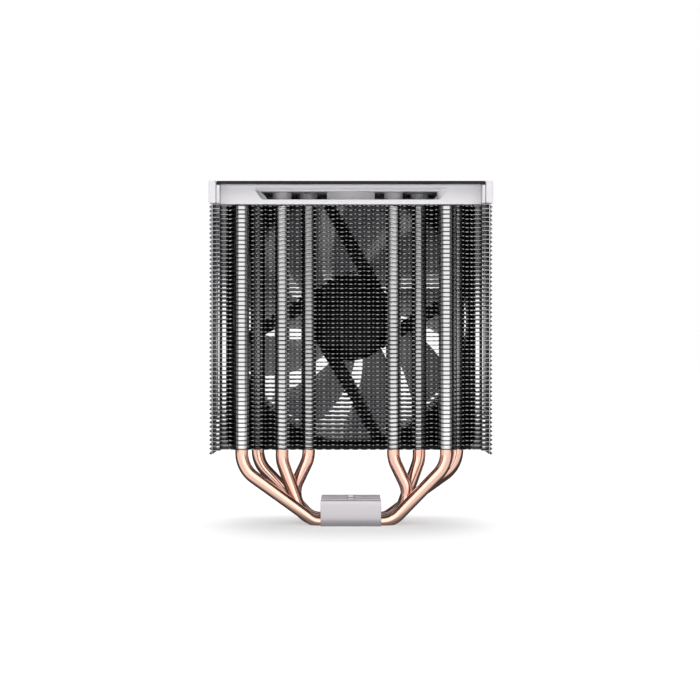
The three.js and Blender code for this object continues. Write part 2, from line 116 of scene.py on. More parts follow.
# The leading edge in degrees at one radius, and how far it falls back for each mm beyond.
BLADE_START, BLADE_START_RADIUS, BLADE_SWEEP = -6.5, 23, 0.72
# The blade's width in degrees. It narrows from the taper's radius to the tip.
ROOT_CHORD, TIP_CHORD, TAPER_RADIUS = 29, 25, 37
BLADE_CAMBER, BLADE_INSET, EDGE_THICKNESS, ADDED_THICKNESS = 1.1, 0.9, 0.35, 1.5

WIRE_RADIUS, WIRE_BEND = 0.9, 2.2


# ---- Materials ----


FINISHES = {}


def finish(
    slot, colour, roughness, metallic=0.0, grain=(1, 1, 1), scale=300.0, shade=0.06, gloss=0.06,
    bump=0.0, bump_scale=None, **sockets,
):
    """A shader whose colour, gloss and surface wander a little, by noise in the piece's own space.

    grain stretches the noise, shade and gloss are how far it goes, and bump is its height in metres.
    sockets are values for the shader's other inputs, with _ for a space.
    """
    material = bpy.data.materials.new(slot)
    material.use_nodes = True
    nodes, links = material.node_tree.nodes, material.node_tree.links
    shader = nodes["Principled BSDF"]
    shader.inputs["Metallic"].default_value = metallic
    for name, value in sockets.items():
        shader.inputs[name.replace("_", " ")].default_value = value

    place = nodes.new("ShaderNodeTexCoord")
    stretch = nodes.new("ShaderNodeMapping")
    stretch.inputs["Scale"].default_value = grain
    links.new(place.outputs["Object"], stretch.inputs["Vector"])

    def noise(size, detail):
        node = nodes.new("ShaderNodeTexNoise")
        node.inputs["Scale"].default_value = size
        node.inputs["Detail"].default_value = detail
        links.new(stretch.outputs["Vector"], node.inputs["Vector"])
        return node.outputs["Fac"]

    def between(fac, low, high):
        node = nodes.new("ShaderNodeMapRange")
        node.inputs["From Min"].default_value = 0.3
        node.inputs["From Max"].default_value = 0.7
        node.inputs["To Min"].default_value = low
        node.inputs["To Max"].default_value = high
        links.new(fac, node.inputs["Value"])
        return node.outputs["Result"]

    tint = nodes.new("ShaderNodeMix")
    tint.data_type = "RGBA"
    tint.inputs["A"].default_value = (*[c * (1 - shade) for c in colour], 1)
    tint.inputs["B"].default_value = (*[min(1, c * (1 + shade)) for c in colour], 1)
    links.new(noise(scale, 3), tint.inputs["Factor"])
    links.new(tint.outputs["Result"], shader.inputs["Base Color"])
    dull = between(noise(scale * 0.37, 2), roughness - gloss, roughness + gloss)
    links.new(dull, shader.inputs["Roughness"])
    if bump:
        height = nodes.new("ShaderNodeBump")
        height.inputs["Distance"].default_value = bump
        height.inputs["Strength"].default_value = 1.0
        links.new(noise(bump_scale or scale * 4, 2), height.inputs["Height"])
        links.new(height.outputs["Normal"], shader.inputs["Normal"])
    FINISHES[slot] = material


finish(
    "milled_aluminium", (0.66, 0.63, 0.655), 0.24, 1.0,
    grain=(0.04, 1, 1), scale=2600, shade=0.02, gloss=0.015,
)
finish("copper_pipe", (0.93, 0.59, 0.48), 0.16, 1.0, scale=90, shade=0.05, gloss=0.03)
finish(
    "fin_aluminium", (0.54, 0.54, 0.55), 0.21, 1.0,
    grain=(0.15, 1, 1), scale=500, shade=0.04, gloss=0.03,
)
# Painted shade: the collars are painted brightest in the front row of pipes and darker in each row behind it,
# standing in for the light that fades deeper in the stack.
COLLAR_ROW_PAINTED_SHADE = (0.52, 0.46, 0.40, 0.2)
for row, bright in enumerate(COLLAR_ROW_PAINTED_SHADE, 1):
    finish(f"drawn_collar_{row}", (bright, bright, bright), 0.12, 1.0, scale=300, shade=0.03, gloss=0.03)
# Two darker copies of the fin's metal, for its edges: a deep painted shade and a softer painted shade.
finish("edge_painted_deep_shade", (0.10, 0.10, 0.105), 0.5, 1.0, scale=900, shade=0.2)
finish("edge_painted_soft_shade", (0.30, 0.295, 0.305), 0.3, 1.0, scale=900, shade=0.1, gloss=0.04)
finish(
    "white_shell", (0.72, 0.705, 0.73), 0.42,
    scale=220, shade=0.015, gloss=0.04, bump=8e-6, bump_scale=3000,
)
finish(
    "black_plate", (0.016, 0.0155, 0.0165), 0.42,
    scale=160, shade=0.1, gloss=0.05, bump=6e-6, bump_scale=4000, Specular_IOR_Level=0.12,
)
finish(
    "fan_frame_plastic", (0.013, 0.013, 0.014), 0.45,
    scale=240, shade=0.15, gloss=0.06, bump=1.2e-5, bump_scale=2600,
)
finish("smoked_blade_plastic", (0.085, 0.085, 0.09), 0.30, scale=70, shade=0.08, gloss=0.05)
finish(
    "smoked_blade", (0.15, 0.147, 0.152), 0.35,
    scale=70, shade=0.05, gloss=0.05, Transmission_Weight=0.9, IOR=1.25,
)
finish("ferrite", (0.06, 0.06, 0.065), 0.7, scale=900, shade=0.25)
finish("shaft_steel", (0.6, 0.6, 0.62), 0.2, 1.0, scale=600, shade=0.04)
finish("clip_plastic", (0.75, 0.73, 0.66), 0.45, scale=300, shade=0.04)
finish("bearing_bronze", (0.60, 0.42, 0.20), 0.4, 1.0, scale=1500, shade=0.2)
finish("board_laminate", (0.02, 0.11, 0.045), 0.4, scale=700, shade=0.2)
finish("stator_steel", (0.32, 0.32, 0.33), 0.45, 1.0, grain=(0.02, 1, 0.02), scale=2000, shade=0.25)
finish("coil_copper", (0.62, 0.25, 0.11), 0.3, 1.0, scale=800, shade=0.12)
finish("pad_rubber", (0.022, 0.022, 0.023), 0.8, scale=600, shade=0.2, bump=2e-5, bump_scale=1800)
finish("spring_wire", (0.62, 0.62, 0.64), 0.22, 1.0, scale=500, shade=0.05)


# ---- Making meshes ----


def upright(x, z, y):
    """A point of a shape drawn in (x, z) and run along Y, about the fan's axis."""
    return x, y, z + FAN_Z


def facing_front(x, z, y):
    """A point of a shape drawn in (x, z) and run along Y."""
    return x, y, z


def flat(x, y, z):
    """A point of a shape drawn in (x, y) and run up Z."""
    return x, y, z


def endways(y, z, x):
    """A point of a shape drawn in (y, z) and run along X."""
    return x, y, z


def inside(loops, u, v):
    """Whether a point is within an odd number of the loops."""
    crossings = 0
    for loop in loops:
        for (u0, v0), (u1, v1) in zip(loop, loop[1:] + loop[:1]):
            if (v0 > v) != (v1 > v) and u < u0 + (v - v0) * (u1 - u0) / (v1 - v0):
                crossings += 1
    return crossings % 2 == 1


def triangles(loops):
    """Triangles that fill an outline but not the holes in it, by the loops' own points."""
    points = [Vector(p) for loop in loops for p in loop]
    edges = []
    start = 0
    for loop in loops:
        edges += [(start + i, start + (i + 1) % len(loop)) for i in range(len(loop))]
        start += len(loop)
    _, _, faces, origins, _, _ = delaunay_2d_cdt(points, edges, [], 0, 1e-9)
    filled = []
    for face in faces:
        corners = [origins[i][0] for i in face]
        u, v = (sum(points[i][k] for i in corners) / 3 for k in (0, 1))
        if inside(loops, u, v):
            filled.append(tuple(corners))
    return filled


def band(here, there, count):
    """Faces between two closed rings of count points, which start at here and at there."""
    steps = [(i, (i + 1) % count) for i in range(count)]
    return [(here + i, here + j, there + j, there + i) for i, j in steps]


def prism(loops, low, high, place):
    """An outline, and any holes in it, run straight from low to high."""
    points = [p for loop in loops for p in loop]
    count = len(points)
    verts = [place(u, v, low) for u, v in points] + [place(u, v, high) for u, v in points]
    if len(loops) == 1:
        caps = [tuple(range(count))]
    else:
        caps = triangles(loops)
    faces = caps + [tuple(i + count for i in cap) for cap in caps]
    start = 0
    for loop in loops:
        faces += band(start, start + count, len(loop))
        start += len(loop)
    return verts, faces


def lathe(profile, sides, place):
    """A closed profile of (radius, height), turned right round."""
    count = len(profile)
    verts, faces = [], []
    for step in range(sides):
        angle = 2 * math.pi * step / sides
        verts += [place(r * math.cos(angle), r * math.sin(angle), h) for r, h in profile]
    for step in range(sides):
        faces += band(step * count, (step + 1) % sides * count, count)
    return verts, faces


def route(corners, bends, steps):
    """(point, direction) along straight runs that are joined by round bends."""
    points = [Vector(c) for c in corners]
    stations = [(points[0], (points[1] - points[0]).normalized())]
    for before, corner, after, bend in zip(points, points[1:], points[2:], bends):
        arriving, leaving = (corner - before).normalized(), (after - corner).normalized()
        turn = arriving.angle(leaving)
        inward = (leaving - arriving * math.cos(turn)).normalized()
        centre = corner - arriving * bend * math.tan(turn / 2) + inward * bend
        for step in range(steps + 1):
            angle = turn * step / steps
            at = centre + (arriving * math.sin(angle) - inward * math.cos(angle)) * bend
            stations.append((at, arriving * math.cos(angle) + inward * math.sin(angle)))
    stations.append((points[-1], (points[-1] - points[-2]).normalized()))
    return stations


def tube(stations, radius, sides, cap):
    """A round bar along those stations, its ends rounded over a length of cap."""
    (first, out), (last, on) = stations[0], stations[-1]
    # How far in from the end each ring of the rounding lies, and its share of the radius.
    rounding = [(cap * (1 - math.cos(a)), math.sin(a)) for a in map(math.radians, (0, 30, 60, 90))]
    rings = [(first + out * depth, out, size) for depth, size in rounding]
    rings += [(at, along, 1.0) for at, along in stations[1:-1]]
    rings += [(last - on * depth, on, size) for depth, size in reversed(rounding)]
    across = out.orthogonal().normalized()
    verts, faces = [], []
    for at, along, size in rings:
        across = (across - along * across.dot(along)).normalized()
        up = along.cross(across)
        for i in range(sides):
            angle = 2 * math.pi * i / sides
            verts.append(tuple(at + (across * math.cos(angle) + up * math.sin(angle)) * radius * size))
    for ring in range(len(rings) - 1):
        faces += band(ring * sides, (ring + 1) * sides, sides)
    return verts, faces


def loop_of_wire(points, radius, sides):
    """A closed loop of round wire through points that lie in one plane of constant x."""
    count = len(points)
    verts, faces = [], []
    for i, at in enumerate(points):
        along = (points[(i + 1) % count] - points[i - 1]).normalized()
        out = along.cross(Vector((1, 0, 0))).normalized()
        for j in range(sides):
            angle = 2 * math.pi * j / sides
            verts.append(tuple(at + (out * math.cos(angle) + Vector((1, 0, 0)) * math.sin(angle)) * radius))
    for i in range(count):
        faces += band(i * sides, (i + 1) % count * sides, sides)
    return verts, faces


def gather(*shapes):
    """Several (verts, faces) as one."""
    verts, faces = [], []
    for more_verts, more_faces in shapes:
        faces += [tuple(i + len(verts) for i in face) for face in more_faces]
        verts += more_verts
    return verts, faces


def moved(shape, x, y):
    """(verts, faces) shifted along X and Y."""
    verts, faces = shape
    return [(vx + x, vy + y, vz) for vx, vy, vz in verts], faces


def circle(radius, sides, centre=(0.0, 0.0)):
    angles = [2 * math.pi * i / sides for i in range(sides)]
    return [(centre[0] + radius * math.cos(a), centre[1] + radius * math.sin(a)) for a in angles]


def rectangle(u0, u1, v0, v1):
    return [(u0, v0), (u1, v0), (u1, v1), (u0, v1)]


def rounded_square(half, corner, centre=(0.0, 0.0), steps=8):
    points = []
    for quarter, (su, sv) in enumerate([(1, 1), (-1, 1), (-1, -1), (1, -1)]):
        for step in range(steps + 1):
            angle = math.pi / 2 * (quarter + step / steps)
            points.append((
                centre[0] + su * (half - corner) + corner * math.cos(angle),
                centre[1] + sv * (half - corner) + corner * math.sin(angle),
            ))
    return points


def quarter_turns(u, v):
    """(u, v) and the same point a quarter, a half and three quarters of the way round."""
    return [(u, v), (-v, u), (-u, -v), (v, -u)]


CRISP = 32  # degrees: an edge that turns further stays sharp, or gets a bevel


def make_mesh(name, shape, smooth=CRISP):
    """A mesh of (verts, faces) in mm. Edges sharper than smooth degrees stay crisp."""
    verts, faces = shape
    mesh = bpy.data.meshes.new(name)
    mesh.from_pydata([(x * MM, y * MM, z * MM) for x, y, z in verts], [], faces)
    work = bmesh.new()
    work.from_mesh(mesh)
    bmesh.ops.remove_doubles(work, verts=work.verts, dist=2e-6)
    bmesh.ops.dissolve_degenerate(work, edges=work.edges, dist=1e-7)
    bmesh.ops.recalc_face_normals(work, faces=work.faces)
    work.to_mesh(mesh)
    work.free()
    mesh.shade_smooth()
    mesh.set_sharp_from_angle(angle=math.radians(smooth))
    return mesh


def add_piece(name, mesh, slot, body="tower", stands_for=(), bevel=0.0, z=0.0):
    """One visible piece, riding a body of the frame. bevel rounds its edges by that much."""
    if not mesh.materials:
        mesh.materials.append(FINISHES[slot])
    piece = bpy.data.objects.new(name, mesh)
    bpy.context.scene.collection.objects.link(piece)
    piece.location.z = z * MM
    if bevel:
        edge = piece.modifiers.new("edge", "BEVEL")
        edge.width = bevel * MM
        edge.segments = 3
        edge.limit_method = "ANGLE"
        edge.angle_limit = math.radians(CRISP)
        edge.harden_normals = True
    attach(piece, body)
    if stands_for:
        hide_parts(*stands_for)
    return piece


def make(name, shape, slot, body="tower", stands_for=(), bevel=0.0, smooth=CRISP):
    """A piece straight from (verts, faces)."""
    return add_piece(name, make_mesh(name, shape, smooth), slot, body, stands_for, bevel)


# ---- Base and heat pipes ----


def arc(centre, radius, start, end, steps):
    """Points from angle start to angle end, in degrees."""
    angles = [math.radians(start + (end - start) * i / steps) for i in range(steps + 1)]
    return [(centre[0] + radius * math.cos(a), centre[1] + radius * math.sin(a)) for a in angles]


def base_profile():
    """The block's end in (y, z): channels under it, a chamfered foot, ribs along its top."""
    channel = PIPE_RADIUS + CHANNEL_PLAY
    open_angle = math.degrees(math.asin(PIPE_AXIS_Z / channel))
    right_foot = [(BASE_HALF_Y - inset, z) for inset, z in BASE_FOOT]
    left_foot = [(-y, z) for y, z in reversed(right_foot)]
    points = left_foot[-1:]
    for _, _, y, _ in PIPES:
        wall = arc((0, PIPE_AXIS_Z), channel, 180 + open_angle, -open_angle, 20)
        points += [(y + across * PRESS_WIDTH, up * PRESS_HEIGHT) for across, up in wall]
    points += [*right_foot, (BASE_HALF_Y, BASE_TOP)]
    groove = (2 * BASE_HALF_Y - RIB_COUNT * RIB_WIDTH) / (RIB_COUNT - 1)
    floor_z = BASE_TOP - RIB_DEPTH
    for i in range(RIB_COUNT - 1):
        far = BASE_HALF_Y - RIB_WIDTH - i * (RIB_WIDTH + groove)
        near = far - groove
        points += [(far, BASE_TOP), (far, floor_z), (near, floor_z), (near, BASE_TOP)]
    return points + [(-BASE_HALF_Y, BASE_TOP), *left_foot[:-1]]


def cut_away(piece, shape):
    """Cuts the shape out of the piece."""
    tool = bpy.data.objects.new(piece.name + "_cut", make_mesh(piece.name + "_cut", shape))
    bpy.context.scene.collection.objects.link(tool)
    cut = piece.modifiers.new("cut", "BOOLEAN")
    cut.object = tool
    cut.solver = "EXACT"
    piece.modifiers.move(len(piece.modifiers) - 1, 0)
    result = bpy.data.meshes.new_from_object(piece.evaluated_get(bpy.context.evaluated_depsgraph_get()))
    piece.modifiers.clear()
    piece.data = result
    bpy.data.objects.remove(tool)


base = make(
    "base_milled",
    prism([base_profile()], -BASE_HALF_X, BASE_HALF_X, endways),
    "milled_aluminium",
    stands_for=["base_block"],
    bevel=0.4,
)
# The notch runs back from behind the front rib, through the ribs, and leaves a wall at the far end.
notch = rectangle(-RIB_NOTCH / 2, RIB_NOTCH / 2, -BASE_HALF_Y + RIB_WIDTH, BASE_HALF_Y - NOTCH_WALL)
cut_away(base, prism([notch], BASE_TOP - RIB_DEPTH, BASE_TOP + 1, flat))


def eased(value, start, end):
    """0 up to start and 1 from end on, with a smooth rise between."""
    share = min(1, max(0, (value - start) / (end - start)))
    return share * share * (3 - 2 * share)


def pressed(x, y, z, pipe_y):
    """A point of a round pipe once its lowest part is milled flat and pressed into the base."""
    amount = (1 - eased(abs(x), *PRESS_FADE_X)) * (1 - eased(z, *PRESS_FADE_Z))
    wider, lower = 1 + (PRESS_WIDTH - 1) * amount, 1 + (PRESS_HEIGHT - 1) * amount
    return x, pipe_y + (y - pipe_y) * wider, max(z, 0.0) * lower


for number, (corners, bends, y, side) in enumerate(PIPES, 1):
    line = route([(side * x, y, z) for x, z in corners], bends, 14)
    verts, faces = tube(line, PIPE_RADIUS, 40, 1.5)
    verts = [pressed(*vert, y) for vert in verts]
    stands_for = [f"heat_pipe_{number}"]
    make(f"copper_pipe_{number}", (verts, faces), "copper_pipe", stands_for=stands_for, smooth=50)


# ---- Fins ----


def exhaust_edge(x):
    """Where the toothed edge lies at x: it bulges round the front pipes."""
    off = abs(x / TOOTH_PITCH - round(x / TOOTH_PITCH)) * TOOTH_PITCH
    slope = (off - TOOTH_VALLEY_HALF) / (TOOTH_PITCH / 2 - TOOTH_TIP_HALF - TOOTH_VALLEY_HALF)
    y = TOOTH_VALLEY_Y + (TOOTH_TIP_Y - TOOTH_VALLEY_Y) * min(1, max(0, slope))
    for leg_x, leg_y in LEGS:
        if leg_y == PIPE_FRONT_Y and abs(x - leg_x) < BUMP_RADIUS:
            y = min(y, leg_y - math.sqrt(BUMP_RADIUS**2 - (x - leg_x) ** 2))
    return y


def fin_outline():
    """A fin's outline in (x, y), with a point wherever its toothed edge turns."""
    across = set()
    for k in range(-TOOTH_COUNT, TOOTH_COUNT + 1):
        across |= {k * TOOTH_PITCH - TOOTH_VALLEY_HALF, k * TOOTH_PITCH + TOOTH_VALLEY_HALF}
        if k < TOOTH_COUNT:
            across |= {(k + 0.5) * TOOTH_PITCH - TOOTH_TIP_HALF, (k + 0.5) * TOOTH_PITCH + TOOTH_TIP_HALF}
    limit = TOOTH_COUNT * TOOTH_PITCH + TOOTH_VALLEY_HALF
    for leg_x, leg_y in LEGS:
        if leg_y == PIPE_FRONT_Y:
            bulge = {leg_x + BUMP_RADIUS * math.cos(math.radians(a)) for a in range(0, 181, 10)}
            across |= {x for x in bulge if abs(x) < limit}
    front = [(x, exhaust_edge(x)) for x in sorted(across)]
    right = [
        (54.8, -15.2), (55.1, -15.2), (55.5, -11.6), (56.0, -11.6), (56.5, -14.0), (59.7, -14.0),
        (59.7, WING_NEAR), (WING_HALF, WING_NEAR), (WING_HALF, WING_FAR),
        (BODY_HALF, 4.4), (BODY_HALF, BODY_FAR),
    ]
    return front + right + [(-x, y) for x, y in reversed(right)]


def fin_sides():
    """Folds along both sides: a flange down to the fin below, and a V-shaped lip outside it."""
    lip = [
        (63.2, 0.2), (64.66, -1.2), (64.66, -1.3), (63.62, -2.0), (63.46, -1.82), (64.3, -1.24), (63.2, -0.2),
    ]
    near, low, high = WING_NEAR + 0.1, -1.78, -0.1
    shapes = []
    for side in (1, -1):
        wing_fold = rectangle(side * 62.95, side * 63.22, low, high)
        body_fold = rectangle(side * 61.65, side * 61.88, low, high)
        shapes.append(prism([[(side * x, z) for x, z in lip]], near, WING_FAR - 0.1, facing_front))
        shapes.append(prism([wing_fold], near, WING_FAR, facing_front))
        shapes.append(prism([body_fold], 5.0, BODY_FAR - 0.1, facing_front))
    return shapes


# In (radius, height) above a fin: the foot, the draw and the rim of a collar.
COLLAR = [
    (3.08, 0.1), (3.9, 0.1), (3.9, 0.18), (3.62, 0.24), (3.47, 0.4), (3.45, 1.76), (3.4, 1.8), (3.08, 1.8),
]


def fin_mesh(name, collars):
    """A fin. A drawn collar grips each pipe and spaces the next fin, except on the top one."""
    holes = [circle(PIPE_RADIUS + 0.08, 28, leg) for leg in LEGS]
    plate = prism([fin_outline(), *holes], -FIN_THICKNESS / 2, FIN_THICKNESS / 2, flat)
    shapes = [plate, *fin_sides()]
    if collars:
        shapes += [moved(lathe(COLLAR, 28, flat), *leg) for leg in LEGS]
    mesh = make_mesh(name, gather(*shapes), smooth=40)
    rows = sorted({leg_y for _, leg_y in LEGS})
    collar_slots = [f"drawn_collar_{row + 1}" for row in range(len(rows))]
    slots = ["fin_aluminium", "edge_painted_deep_shade", *collar_slots, "edge_painted_soft_shade"]
    for slot in slots:
        mesh.materials.append(FINISHES[slot])
    for face in mesh.polygons:
        x, y = face.center.x / MM, face.center.y / MM
        away, row = min((math.hypot(x - leg_x, y - leg_y), rows.index(leg_y)) for leg_x, leg_y in LEGS)
        on_exhaust_edge = abs(face.normal.z) < 0.1 and y < PIPE_FRONT_Y
        # Each collar takes the painted shade of its row of pipes.
        if away < COLLAR_REACH:
            face.material_index = slots.index(collar_slots[row])
        # Painted shade on the toothed edge: its slanted faces, and the edge before each pipe, get the deep
        # painted shade; its flat tips and valleys, and the wings' edges, get the softer one.
        elif on_exhaust_edge and abs(x) < TEETH_HALF:
            slanted = abs(face.normal.x) > 0.25
            before_leg = any(
                abs(x - leg_x) < (BUMP_RADIUS if leg_y == PIPE_FRONT_Y else SHADED_HALF)
                for leg_x, leg_y in LEGS
                if leg_y != PIPE_BACK_Y
            )
            face.material_index = slots.index("edge_painted_deep_shade" if slanted or before_leg else "edge_painted_soft_shade")
        elif on_exhaust_edge and abs(x) < WING_HALF - 0.4:
            face.material_index = slots.index("edge_painted_soft_shade")
    return mesh


plain_fin = fin_mesh("fin_plate_top", False)
collared_fin = fin_mesh("fin_plate", True)
for k in range(FIN_COUNT):
    shown = plain_fin if k == FIN_COUNT - 1 else collared_fin
    # Every second fin stands for one of the frame's, which are twice as far apart.
    stands_for = [f"fin_{k // 2 + 1:02d}"] if k % 2 == 0 else []
    height = FIN_FIRST_Z + k * FIN_PITCH
    add_piece(f"fin_plate_{k + 1:02d}", shown, "fin_aluminium", stands_for=stands_for, z=height)


# ---- Top cover ----


def shell(name, shape, **more):
    make(name, shape, "white_shell", **more)


def window():
    """The opening in the front bar: slanted ends, with round lower corners."""
    top, bottom, half_top, half_bottom, corner = 154.3, 149.7, 44.0, 40.9, 2.2
    slope = math.degrees(math.atan2(top - bottom, half_top - half_bottom))
    back = corner * math.tan(math.radians(slope) / 2)
    right = arc((half_bottom - back, bottom + corner), corner, -90, slope - 90, 6) + [(half_top, top)]
    return right + [(-x, z) for x, z in reversed(right)]


for label, side in (("right", 1), ("left", -1)):
    outer = rectangle(side * RAIL_INNER, side * RAIL_OUTER, COVER_BOTTOM, COVER_TOP)
    step = rectangle(side * 59.8, side * 61.3, COVER_BOTTOM, SHELL_TOP)
    shell(f"cover_rail_{label}", prism([outer], COVER_NEAR, COVER_FAR, facing_front), bevel=0.6)
    shell(f"cover_step_{label}", prism([step], COVER_NEAR + 1, COVER_FAR, facing_front), bevel=0.3)

bar = [rectangle(-SHELL_HALF, SHELL_HALF, COVER_BOTTOM, SHELL_TOP), window()]
shell("cover_bar", prism(bar, BAR_NEAR, BAR_FAR, facing_front), stands_for=["top_cover"], bevel=0.25)
lip = [(-44.0, 154.35), (44.0, 154.35), (44.2, 154.8), (-44.2, 154.8)]
shell("cover_window_lip", prism([lip], BAR_NEAR - 0.4, BAR_NEAR + 0.2, facing_front), bevel=0.2)
# Inside the window, each end of the cover closes it with a slanted cheek.
cheek = [(38.2, 149.6), (39.4, 149.6), (46, 149.6), (46, 154.0), (41.9, 154.0), (38.9, 150.9)]
for label, side in (("right", 1), ("left", -1)):
    outline = [(side * x, z) for x, z in cheek]
    shell(f"cover_cheek_{label}", prism([outline], -12.0, -9.0, facing_front))
deck = rectangle(-SHELL_HALF, SHELL_HALF, DECK_NEAR, 21.2)
shell("cover_deck", prism([deck], DECK_BOTTOM, SHELL_TOP, flat), bevel=0.2)
ledge = rectangle(-SHELL_HALF, SHELL_HALF, -19.5, DECK_NEAR)
shell("cover_ledge", prism([ledge], SHELL_TOP - 0.1, PLATE_BOTTOM, flat))
far_bar = rectangle(-SHELL_HALF, SHELL_HALF, 21.1, COVER_FAR)
shell("cover_far_bar", prism([far_bar], COVER_BOTTOM, SHELL_TOP, flat), bevel=0.3)
# A cup over each pipe's end, in (radius, height), and one broad boss in the middle.
boss = [
    (0, 150.8), (3.3, 150.8), (3.3, BOSS_BOTTOM), (4.1, BOSS_BOTTOM), (4.4, BOSS_BOTTOM + 0.3),
    (4.4, BOSS_TOP), (0, BOSS_TOP),
]
shell("cover_bosses", gather(*[moved(lathe(boss, 40, flat), *leg) for leg in LEGS]))
half = CENTRE_BOSS_HALF
crown = [(x, -8.2 - 2.6 * math.cos(math.radians(90 * x / half))) for x in range(-half, half + 1)]
shell("cover_centre_boss", prism([[*crown, (half, 10.5), (-half, 10.5)]], BOSS_BOTTOM, BOSS_TOP, flat))
plate = rectangle(-PLATE_HALF, PLATE_HALF, COVER_NEAR, COVER_FAR)
plate_shape = prism([plate], PLATE_BOTTOM, PLATE_TOP, flat)
make("cover_plate", plate_shape, "black_plate", stands_for=["top_plate"], bevel=0.3)


# ---- Fan housing ----


def flange(bore_profile):
    """A square plate round the bore, whose radius follows (y, radius) through the plate."""
    outline = rounded_square(FAN_HALF, FAN_CORNER)
    screws = [circle(FAN_HOLE_RADIUS, 24, at) for at in quarter_turns(FAN_HOLE_OFFSET, FAN_HOLE_OFFSET)]
    straight = [outline, *screws]
    count = sum(len(loop) for loop in straight)
    sides = 120
    verts, faces = [], []
    for y, radius in (bore_profile[0], bore_profile[-1]):
        loops = [*straight, circle(radius, sides)]
        start = len(verts)
        verts += [upright(x, z, y) for loop in loops for x, z in loop]
        caps = triangles(loops)
        faces += [tuple(i + start for i in cap) for cap in caps]
    layer = count + sides
    start = 0
    for loop in straight:
        faces += band(start, start + layer, len(loop))
        start += len(loop)
    rings = [count]
    for y, radius in bore_profile[1:-1]:
        rings.append(len(verts))
        verts += [upright(x, z, y) for x, z in circle(radius, sides)]
    rings.append(layer + count)
    for here, there in zip(rings, rings[1:]):
        faces += band(here, there, sides)
    return verts, faces


near_end, far_start = FAN_NEAR + FLANGE_DEPTH, FAN_FAR - FLANGE_DEPTH
make(
    "fan_exhaust_flange",
    flange([(FAN_NEAR, FAN_BORE + 0.5), (FAN_NEAR + 0.5, FAN_BORE), (near_end, FAN_BORE)]),
    "fan_frame_plastic",
    stands_for=["fan_frame"],
    bevel=0.4,
)
make(
    "fan_intake_rim",
    flange([(far_start, FAN_BORE), (46.6, 56.75), (47.8, 57.2), (48.8, 57.8), (49.5, 58.4), (FAN_FAR, 59.0)]),
    "fan_frame_plastic",
    stands_for=["fan_intake_flange"],
    bevel=0.4,
)
barrel = [(FAN_BORE, near_end), (BARREL_OUTER, near_end), (BARREL_OUTER, far_start), (FAN_BORE, far_start)]
make("fan_barrel_wall", lathe(barrel, 120, upright), "fan_frame_plastic", stands_for=["fan_barrel"])


def struts():
    """Four struts that narrow from the hub plate to the flange, set aslant."""
    hub, rim = Vector((-11.8, -13.3)), Vector((14.5, -58.0))
    along = (rim - hub).normalized()
    across = Vector((-along.y, along.x))
    corners = [hub + across * 3.5, hub - across * 3.5, rim - across * 2.5, rim + across * 2.5]
    turns = [quarter_turns(*corner) for corner in corners]
    outlines = [[turn[quarter] for turn in turns] for quarter in range(4)]
    return [prism([outline], FAN_NEAR, FAN_NEAR + STRUT_DEPTH, upright) for outline in outlines]


make("fan_struts", gather(*struts()), "fan_frame_plastic", bevel=0.9)
hub_plate = [
    (0, 25.35), (16.4, 25.35), (16.8, 25.0), (19.7, 25.0), (20.2, 25.2), (20.4, 25.7), (20.4, 27.5),
    (4.4, 27.5), (4.4, 45.0), (3.3, 45.0), (3.3, 27.0), (0, 27.0),
]
make("fan_hub_plate", lathe(hub_plate, 96, upright), "fan_frame_plastic")

for number, (x, z) in enumerate([(1, 1), (1, -1), (-1, -1), (-1, 1)], 1):
    outline = rounded_square(PAD_HALF, PAD_CORNER, (x * PAD_MIDDLE, z * PAD_MIDDLE))
    hole = circle(PAD_HOLE, 24, (x * FAN_HOLE_OFFSET, z * FAN_HOLE_OFFSET))
    shape = prism([outline, hole], PAD_NEAR, PAD_FAR, upright)
    make(f"rubber_pad_{number}", shape, "pad_rubber", stands_for=[f"corner_pad_{number}"], bevel=0.25)


# ---- Rotor ----


def blade(index):
    """A cambered, swept blade: span runs out along the radius, chord round the axis."""
    spans, chords = 16, 20
    verts, faces = [], []
    for face in (0, 1):
        for i in range(spans + 1):
            radius = BLADE_ROOT + (BLADE_TIP - BLADE_ROOT) * i / spans
            ease = min(1, max(0, (radius - TAPER_RADIUS) / (BLADE_TIP - TAPER_RADIUS)))
            chord = ROOT_CHORD - (ROOT_CHORD - TIP_CHORD) * ease * ease
            edge = BLADE_START - BLADE_SWEEP * (radius - BLADE_START_RADIUS) - 360 / BLADE_COUNT * index
            for j in range(chords + 1):
                forward = j / chords
                angle = math.radians(edge - forward * chord)
                camber = -BLADE_CAMBER * 4 * forward * (1 - forward)
                # Thickest a little before the middle, and thin at both edges.
                fullness = math.sin(math.pi * min(1, forward * 0.93 + 0.05)) ** 0.7
                thickness = EDGE_THICKNESS + ADDED_THICKNESS * fullness
                rise = BLADE_FAR - BLADE_NEAR - 2 * BLADE_INSET
                y = BLADE_NEAR + BLADE_INSET + rise * forward + camber + (face - 0.5) * thickness
                verts.append(upright(radius * math.cos(angle), radius * math.sin(angle), y))
    row, layer = chords + 1, (spans + 1) * (chords + 1)
    for i in range(spans):
        for j in range(chords):
            a = i * row + j
            quad = (a, a + 1, a + row + 1, a + row)
            faces += [quad, tuple(v + layer for v in quad)]
    rim = [i * row for i in range(spans)] + [spans * row + j for j in range(chords)]
    rim += [i * row + chords for i in range(spans, 0, -1)] + [j for j in range(chords, 0, -1)]
    for a, b in zip(rim, rim[1:] + rim[:1]):
        faces.append((a, b, b + layer, a + layer))
    return verts, faces


